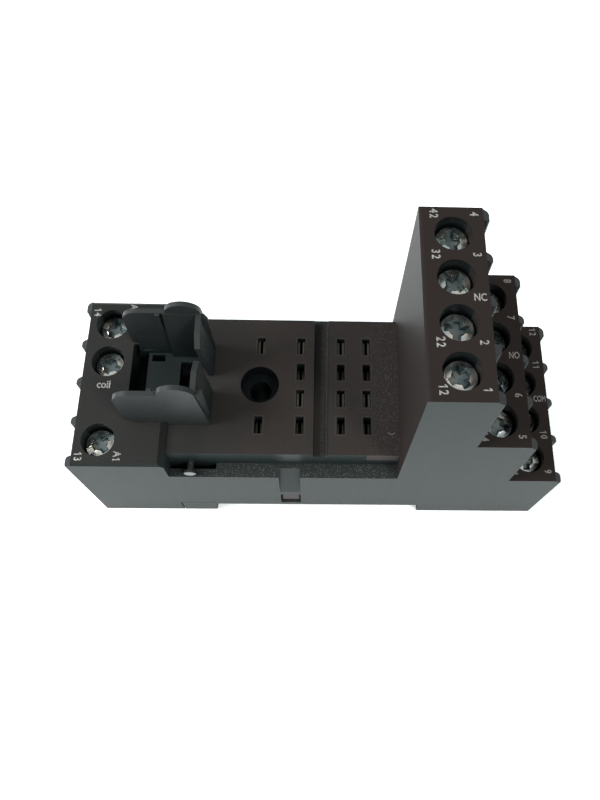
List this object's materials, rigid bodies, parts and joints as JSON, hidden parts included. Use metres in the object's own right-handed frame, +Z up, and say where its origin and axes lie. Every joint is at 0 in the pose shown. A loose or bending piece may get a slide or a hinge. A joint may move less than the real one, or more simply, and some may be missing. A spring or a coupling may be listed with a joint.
{
  "type": "relay socket",
  "caption": "Rail-mounted socket for a plug-in relay: slotted relay plate, stepped screw-terminal tower, coil terminal block, retainer clip and sliding rail latch.",
  "frame": {"origin": "middle of the body in plan, on the plane that the feet stand on", "axes": "+X from the coil terminals to the contact tower, +Y to the back, +Z up from the rail side to the relay"},
  "size_m": [0.0766, 0.027, 0.0582],
  "materials": {
    "housing": "fine spark-eroded black moulding",
    "base": "fine spark-eroded black moulding",
    "latch": "smooth black moulding",
    "clip": "smooth black moulding",
    "screw": "blue zinc plating",
    "cage": "zinc plating",
    "strip": "tinned strip"
  },
  "bodies": {
    "housing": {"upper_housing": "housing", "base_pan": "base", "strip_com_1": "strip", "strip_com_2": "strip", "strip_com_3": "strip", "strip_com_4": "strip", "strip_no_1": "strip", "strip_no_2": "strip", "strip_no_3": "strip", "strip_no_4": "strip", "strip_nc_1": "strip", "strip_nc_2": "strip", "strip_nc_3": "strip", "strip_nc_4": "strip", "strip_coil_a2": "strip", "strip_coil_a1": "strip"},
    "clip": {"retainer_clip": "clip"},
    "latch": {"rail_latch": "latch"},
    "screw_com_1": {"screw_com_1": "screw"},
    "cage_com_1": {"cage_com_1": "cage"},
    "screw_com_2": {"screw_com_2": "screw"},
    "cage_com_2": {"cage_com_2": "cage"},
    "screw_com_3": {"screw_com_3": "screw"},
    "cage_com_3": {"cage_com_3": "cage"},
    "screw_com_4": {"screw_com_4": "screw"},
    "cage_com_4": {"cage_com_4": "cage"},
    "screw_no_1": {"screw_no_1": "screw"},
    "cage_no_1": {"cage_no_1": "cage"},
    "screw_no_2": {"screw_no_2": "screw"},
    "cage_no_2": {"cage_no_2": "cage"},
    "screw_no_3": {"screw_no_3": "screw"},
    "cage_no_3": {"cage_no_3": "cage"},
    "screw_no_4": {"screw_no_4": "screw"},
    "cage_no_4": {"cage_no_4": "cage"},
    "screw_nc_1": {"screw_nc_1": "screw"},
    "cage_nc_1": {"cage_nc_1": "cage"},
    "screw_nc_2": {"screw_nc_2": "screw"},
    "cage_nc_2": {"cage_nc_2": "cage"},
    "screw_nc_3": {"screw_nc_3": "screw"},
    "cage_nc_3": {"cage_nc_3": "cage"},
    "screw_nc_4": {"screw_nc_4": "screw"},
    "cage_nc_4": {"cage_nc_4": "cage"},
    "screw_coil_a2": {"screw_coil_a2": "screw"},
    "cage_coil_a2": {"cage_coil_a2": "cage"},
    "screw_coil_a2_link": {"screw_coil_a2_link": "screw"},
    "cage_coil_a2_link": {"cage_coil_a2_link": "cage"},
    "screw_coil_a1": {"screw_coil_a1": "screw"},
    "cage_coil_a1": {"cage_coil_a1": "cage"}
  },
  "joints": [
    {"name": "clip_hinge", "type": "hinge", "parent": "housing", "child": "clip", "pos_m": [-0.0272, 0, 0.026], "axis": [0, -1, 0], "range_deg": [0, 15]},
    {"name": "latch_slide", "type": "slide", "parent": "housing", "child": "latch", "axis": [-1, 0, 0], "range_m": [0, 0.003], "stiffness_N_per_m": 800, "springref_m": -0.0015},
    {"name": "screw_com_1_turn", "type": "hinge", "parent": "housing", "child": "screw_com_1", "pos_m": [0.03315, -0.00953, 0.02], "axis": [0, 0, -1], "range_deg": [0, 1440]},
    {"name": "cage_com_1_rise", "type": "slide", "parent": "housing", "child": "cage_com_1", "axis": [0, 0, 1], "range_m": [0, 0.0024]},
    {"name": "screw_com_2_turn", "type": "hinge", "parent": "housing", "child": "screw_com_2", "pos_m": [0.03315, -0.00317, 0.02], "axis": [0, 0, -1], "range_deg": [0, 1440]},
    {"name": "cage_com_2_rise", "type": "slide", "parent": "housing", "child": "cage_com_2", "axis": [0, 0, 1], "range_m": [0, 0.0024]},
    {"name": "screw_com_3_turn", "type": "hinge", "parent": "housing", "child": "screw_com_3", "pos_m": [0.03315, 0.00317, 0.02], "axis": [0, 0, -1], "range_deg": [0, 1440]},
    {"name": "cage_com_3_rise", "type": "slide", "parent": "housing", "child": "cage_com_3", "axis": [0, 0, 1], "range_m": [0, 0.0024]},
    {"name": "screw_com_4_turn", "type": "hinge", "parent": "housing", "child": "screw_com_4", "pos_m": [0.03315, 0.00953, 0.02], "axis": [0, 0, -1], "range_deg": [0, 1440]},
    {"name": "cage_com_4_rise", "type": "slide", "parent": "housing", "child": "cage_com_4", "axis": [0, 0, 1], "range_m": [0, 0.0024]},
    {"name": "screw_no_1_turn", "type": "hinge", "parent": "housing", "child": "screw_no_1", "pos_m": [0.0247, -0.00953, 0.02], "axis": [0, 0, -1], "range_deg": [0, 1440]},
    {"name": "cage_no_1_rise", "type": "slide", "parent": "housing", "child": "cage_no_1", "axis": [0, 0, 1], "range_m": [0, 0.0024]},
    {"name": "screw_no_2_turn", "type": "hinge", "parent": "housing", "child": "screw_no_2", "pos_m": [0.0247, -0.00317, 0.02], "axis": [0, 0, -1], "range_deg": [0, 1440]},
    {"name": "cage_no_2_rise", "type": "slide", "parent": "housing", "child": "cage_no_2", "axis": [0, 0, 1], "range_m": [0, 0.0024]},
    {"name": "screw_no_3_turn", "type": "hinge", "parent": "housing", "child": "screw_no_3", "pos_m": [0.0247, 0.00317, 0.02], "axis": [0, 0, -1], "range_deg": [0, 1440]},
    {"name": "cage_no_3_rise", "type": "slide", "parent": "housing", "child": "cage_no_3", "axis": [0, 0, 1], "range_m": [0, 0.0024]},
    {"name": "screw_no_4_turn", "type": "hinge", "parent": "housing", "child": "screw_no_4", "pos_m": [0.0247, 0.00953, 0.02], "axis": [0, 0, -1], "range_deg": [0, 1440]},
    {"name": "cage_no_4_rise", "type": "slide", "parent": "housing", "child": "cage_no_4", "axis": [0, 0, 1], "range_m": [0, 0.0024]},
    {"name": "screw_nc_1_turn", "type": "hinge", "parent": "housing", "child": "screw_nc_1", "pos_m": [0.01625, -0.00953, 0.02], "axis": [0, 0, -1], "range_deg": [0, 1440]},
    {"name": "cage_nc_1_rise", "type": "slide", "parent": "housing", "child": "cage_nc_1", "axis": [0, 0, 1], "range_m": [0, 0.0024]},
    {"name": "screw_nc_2_turn", "type": "hinge", "parent": "housing", "child": "screw_nc_2", "pos_m": [0.01625, -0.00317, 0.02], "axis": [0, 0, -1], "range_deg": [0, 1440]},
    {"name": "cage_nc_2_rise", "type": "slide", "parent": "housing", "child": "cage_nc_2", "axis": [0, 0, 1], "range_m": [0, 0.0024]},
    {"name": "screw_nc_3_turn", "type": "hinge", "parent": "housing", "child": "screw_nc_3", "pos_m": [0.01625, 0.00317, 0.02], "axis": [0, 0, -1], "range_deg": [0, 1440]},
    {"name": "cage_nc_3_rise", "type": "slide", "parent": "housing", "child": "cage_nc_3", "axis": [0, 0, 1], "range_m": [0, 0.0024]},
    {"name": "screw_nc_4_turn", "type": "hinge", "parent": "housing", "child": "screw_nc_4", "pos_m": [0.01625, 0.00953, 0.02], "axis": [0, 0, -1], "range_deg": [0, 1440]},
    {"name": "cage_nc_4_rise", "type": "slide", "parent": "housing", "child": "cage_nc_4", "axis": [0, 0, 1], "range_m": [0, 0.0024]},
    {"name": "screw_coil_a2_turn", "type": "hinge", "parent": "housing", "child": "screw_coil_a2", "pos_m": [-0.0336, 0.00953, 0.02], "axis": [0, 0, -1], "range_deg": [0, 1440]},
    {"name": "cage_coil_a2_rise", "type": "slide", "parent": "housing", "child": "cage_coil_a2", "axis": [0, 0, 1], "range_m": [0, 0.0024]},
    {"name": "screw_coil_a2_link_turn", "type": "hinge", "parent": "housing", "child": "screw_coil_a2_link", "pos_m": [-0.0336, 0.00317, 0.02], "axis": [0, 0, -1], "range_deg": [0, 1440]},
    {"name": "cage_coil_a2_link_rise", "type": "slide", "parent": "housing", "child": "cage_coil_a2_link", "axis": [0, 0, 1], "range_m": [0, 0.0024]},
    {"name": "screw_coil_a1_turn", "type": "hinge", "parent": "housing", "child": "screw_coil_a1", "pos_m": [-0.0336, -0.00953, 0.02], "axis": [0, 0, -1], "range_deg": [0, 1440]},
    {"name": "cage_coil_a1_rise", "type": "slide", "parent": "housing", "child": "cage_coil_a1", "axis": [0, 0, 1], "range_m": [0, 0.0024]}
  ],
  "couplings": [
    {"joint": "screw_com_1_turn", "follows": "cage_com_1_rise", "rad_per_m": 10472},
    {"joint": "screw_com_2_turn", "follows": "cage_com_2_rise", "rad_per_m": 10472},
    {"joint": "screw_com_3_turn", "follows": "cage_com_3_rise", "rad_per_m": 10472},
    {"joint": "screw_com_4_turn", "follows": "cage_com_4_rise", "rad_per_m": 10472},
    {"joint": "screw_no_1_turn", "follows": "cage_no_1_rise", "rad_per_m": 10472},
    {"joint": "screw_no_2_turn", "follows": "cage_no_2_rise", "rad_per_m": 10472},
    {"joint": "screw_no_3_turn", "follows": "cage_no_3_rise", "rad_per_m": 10472},
    {"joint": "screw_no_4_turn", "follows": "cage_no_4_rise", "rad_per_m": 10472},
    {"joint": "screw_nc_1_turn", "follows": "cage_nc_1_rise", "rad_per_m": 10472},
    {"joint": "screw_nc_2_turn", "follows": "cage_nc_2_rise", "rad_per_m": 10472},
    {"joint": "screw_nc_3_turn", "follows": "cage_nc_3_rise", "rad_per_m": 10472},
    {"joint": "screw_nc_4_turn", "follows": "cage_nc_4_rise", "rad_per_m": 10472},
    {"joint": "screw_coil_a2_turn", "follows": "cage_coil_a2_rise", "rad_per_m": 10472},
    {"joint": "screw_coil_a2_link_turn", "follows": "cage_coil_a2_link_rise", "rad_per_m": 10472},
    {"joint": "screw_coil_a1_turn", "follows": "cage_coil_a1_rise", "rad_per_m": 10472}
  ]
}
